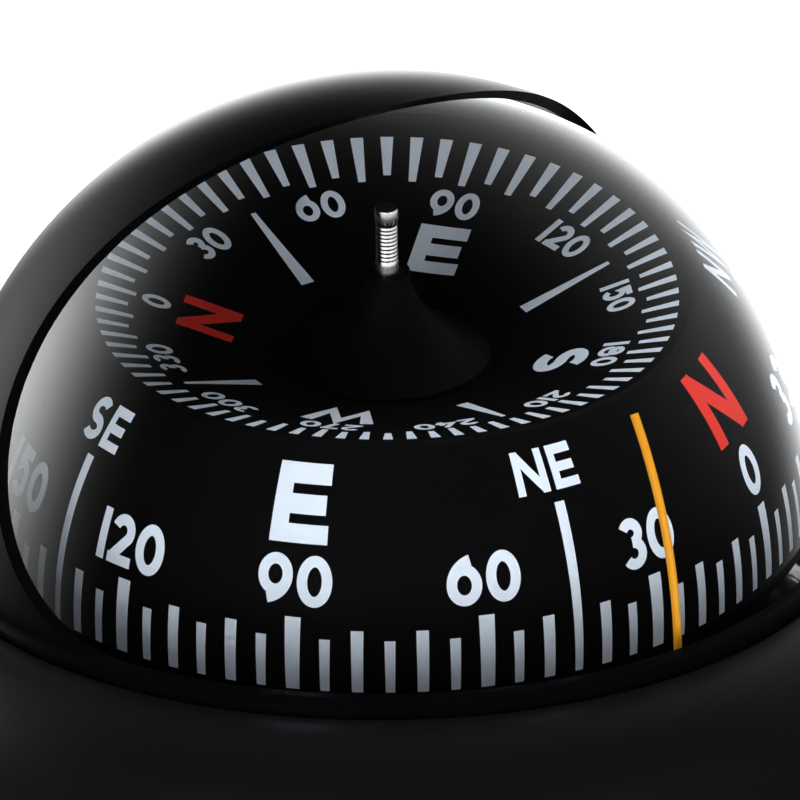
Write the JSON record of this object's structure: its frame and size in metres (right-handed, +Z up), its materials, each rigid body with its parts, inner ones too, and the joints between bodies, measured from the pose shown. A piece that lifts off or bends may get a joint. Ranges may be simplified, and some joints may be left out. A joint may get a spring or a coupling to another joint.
{
  "type": "handheld bearing compass",
  "caption": "Handheld bearing compass: clear dome with shading hood over a gimballed dished card and lubber line, on a battery grip with a light button.",
  "frame": {"origin": "centre of the flat underside of the foot", "axes": "+Z up along the grip to the dome's top; -Y is the reader's side, where the lubber line stands"},
  "size_m": [0.099, 0.099, 0.1996],
  "materials": {
    "case_plastic": "satin black moulded plastic",
    "grip_rubber": "fine matt rubber",
    "bezel_plastic": "satin black moulded plastic",
    "clear_dome": "polished clear acrylic",
    "hood_plastic": "satin black moulded plastic",
    "card_plastic": "matt black with printed scales",
    "float_foam": "closed-cell foam",
    "bowl_plastic": "plain moulded plastic",
    "gimbal_plastic": "plain moulded plastic",
    "brass_metal": "turned brass",
    "steel_metal": "stainless steel",
    "magnet_metal": "plain magnet",
    "lubber_paint": "orange-yellow enamel",
    "seal_rubber": "smooth rubber",
    "jewel_stone": "polished jewel",
    "button_rubber": "red rubber",
    "board_green": "circuit board",
    "lamp_red": "tinted lens",
    "window_clear": "clear plastic",
    "contact_brass": "sprung brass sheet",
    "holder_plastic": "plain moulded plastic",
    "cell_wrap": "plain plastic wrap",
    "switch_plastic": "plain moulded plastic"
  },
  "bodies": {
    "case": {"handle_left": "case_plastic", "handle_right": "case_plastic", "handle_screws": "steel_metal", "grip_sleeve": "grip_rubber", "bezel_ring": "bezel_plastic", "bezel_screws": "steel_metal", "dome": "clear_dome", "dome_gasket": "seal_rubber", "bowl": "bowl_plastic", "gimbal_pivots": "brass_metal", "lubber_line": "lubber_paint", "diaphragm": "seal_rubber", "diaphragm_clamp": "switch_plastic", "filler_plug": "steel_metal", "lamp_window": "window_clear", "lamp": "lamp_red", "lamp_board": "board_green", "contact_strips": "contact_brass", "contact_holder": "holder_plastic", "contact_plate": "contact_brass", "battery_tube": "switch_plastic", "batteries": "cell_wrap", "light_switch": "switch_plastic"},
    "light_button": {"light_button": "button_rubber"},
    "cap_slider": {"cap_seal": "seal_rubber"},
    "battery_cap": {"battery_cap": "case_plastic", "cap_contact": "contact_brass"},
    "hood": {"hood": "hood_plastic"},
    "gimbal": {"gimbal_ring": "gimbal_plastic", "ring_pivots": "brass_metal"},
    "yoke": {"yoke": "gimbal_plastic", "pivot_post": "steel_metal", "counterweight": "brass_metal"},
    "card": {"card": "card_plastic", "card_float": "float_foam", "card_magnets": "magnet_metal", "card_hub": "card_plastic", "sight_pin": "steel_metal", "jewel": "jewel_stone"}
  },
  "joints": [
    {"name": "hood_swivel", "type": "hinge", "parent": "case", "child": "hood", "pos_m": [0, 0, 0.1583], "axis": [0, 0, 1], "continuous": true},
    {"name": "gimbal_roll", "type": "hinge", "parent": "case", "child": "gimbal", "pos_m": [0, 0, 0.1483], "axis": [1, 0, 0], "range_deg": [-18, 18]},
    {"name": "gimbal_pitch", "type": "hinge", "parent": "gimbal", "child": "yoke", "pos_m": [0, 0, 0.1483], "axis": [0, 1, 0], "range_deg": [-18, 18]},
    {"name": "card_spin", "type": "hinge", "parent": "yoke", "child": "card", "pos_m": [0, 0, 0.1583], "axis": [0, 0, 1], "continuous": true},
    {"name": "light_press", "type": "slide", "parent": "case", "child": "light_button", "axis": [0, 1, 0], "range_m": [0, 0.0006], "stiffness_N_per_m": 2000},
    {"name": "cap_travel", "type": "slide", "parent": "case", "child": "cap_slider", "axis": [0, 0, -1], "range_m": [0, 0.006]},
    {"name": "cap_turn", "type": "hinge", "parent": "cap_slider", "child": "battery_cap", "pos_m": [0, 0, 0], "axis": [0, 0, -1], "range_deg": [-720, 0]}
  ],
  "couplings": [
    {"joint": "cap_turn", "follows": "cap_travel", "rad_per_m": -2094.4}
  ]
}
